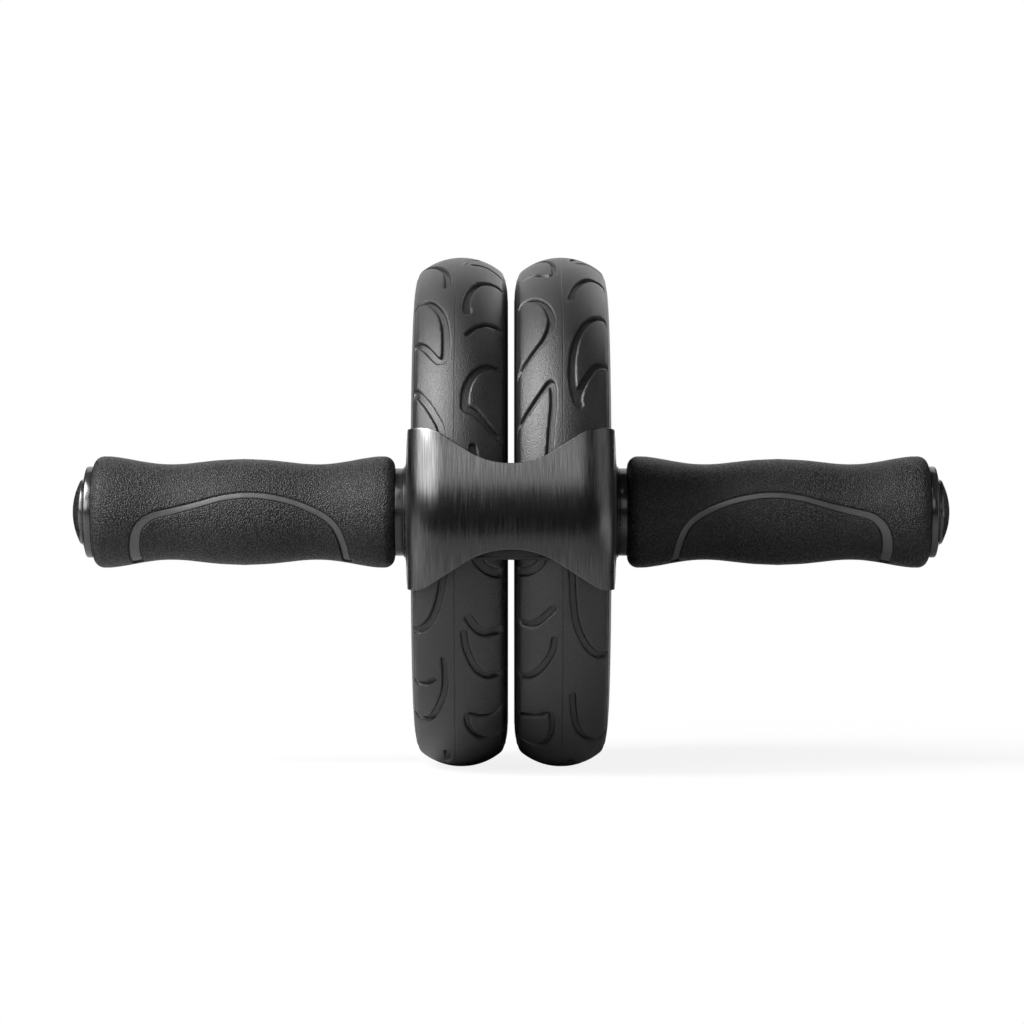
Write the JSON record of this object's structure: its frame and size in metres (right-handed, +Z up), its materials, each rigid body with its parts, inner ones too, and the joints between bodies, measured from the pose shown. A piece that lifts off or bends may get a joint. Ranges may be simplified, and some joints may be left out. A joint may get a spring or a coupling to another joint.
{
  "type": "ab wheel roller",
  "caption": "Ab wheel roller: side-by-side treaded tyres on one axle behind a brushed metal front guard, with a waisted foam grip at each end.",
  "frame": {"origin": "on the floor under the middle of the axle, between the two tyres", "axes": "+X along the axle towards the right grip, +Z up, -Y towards the metal guard"},
  "size_m": [0.3278, 0.1945, 0.19],
  "materials": {
    "bright_steel": "satin",
    "bearing_steel": "polished",
    "brushed_cover": "satin",
    "black_plastic": "matte",
    "gloss_black": "gloss",
    "wheel_plastic": "satin",
    "tyre_rubber": "satin",
    "foam": "matte",
    "inlay_rubber": "satin"
  },
  "bodies": {
    "frame": {"axle": "bright_steel", "saddle_cover": "brushed_cover", "cover_liner": "black_plastic", "centre_spacer": "bright_steel", "left_bearing_spacer": "bright_steel", "left_outer_spacer": "bright_steel", "left_collar_washer": "black_plastic", "left_collar": "gloss_black", "left_handle_core": "black_plastic", "left_foam_grip": "foam", "left_grip_inlay": "inlay_rubber", "left_end_washer": "bright_steel", "left_end_screw": "bright_steel", "left_end_cap": "gloss_black", "left_cap_disc": "gloss_black", "left_inner_bearing_inner_ring": "bearing_steel", "left_outer_bearing_inner_ring": "bearing_steel", "right_bearing_spacer": "bright_steel", "right_outer_spacer": "bright_steel", "right_collar_washer": "black_plastic", "right_collar": "gloss_black", "right_handle_core": "black_plastic", "right_foam_grip": "foam", "right_grip_inlay": "inlay_rubber", "right_end_washer": "bright_steel", "right_end_screw": "bright_steel", "right_end_cap": "gloss_black", "right_cap_disc": "gloss_black", "right_inner_bearing_inner_ring": "bearing_steel", "right_outer_bearing_inner_ring": "bearing_steel"},
    "left_wheel": {"left_inner_bearing_outer_ring": "bearing_steel", "left_inner_bearing_balls": "bearing_steel", "left_inner_bearing_cage": "bright_steel", "left_inner_bearing_shields": "black_plastic", "left_outer_bearing_outer_ring": "bearing_steel", "left_outer_bearing_balls": "bearing_steel", "left_outer_bearing_cage": "bright_steel", "left_outer_bearing_shields": "black_plastic", "left_wheel_rim": "wheel_plastic", "left_tyre": "tyre_rubber"},
    "right_wheel": {"right_inner_bearing_outer_ring": "bearing_steel", "right_inner_bearing_balls": "bearing_steel", "right_inner_bearing_cage": "bright_steel", "right_inner_bearing_shields": "black_plastic", "right_outer_bearing_outer_ring": "bearing_steel", "right_outer_bearing_balls": "bearing_steel", "right_outer_bearing_cage": "bright_steel", "right_outer_bearing_shields": "black_plastic", "right_wheel_rim": "wheel_plastic", "right_tyre": "tyre_rubber"}
  },
  "joints": [
    {"name": "left_wheel_spin", "type": "hinge", "parent": "frame", "child": "left_wheel", "pos_m": [-0.0182, 0, 0.095], "axis": [1, 0, 0], "continuous": true},
    {"name": "right_wheel_spin", "type": "hinge", "parent": "frame", "child": "right_wheel", "pos_m": [0.0182, 0, 0.095], "axis": [1, 0, 0], "continuous": true}
  ]
}
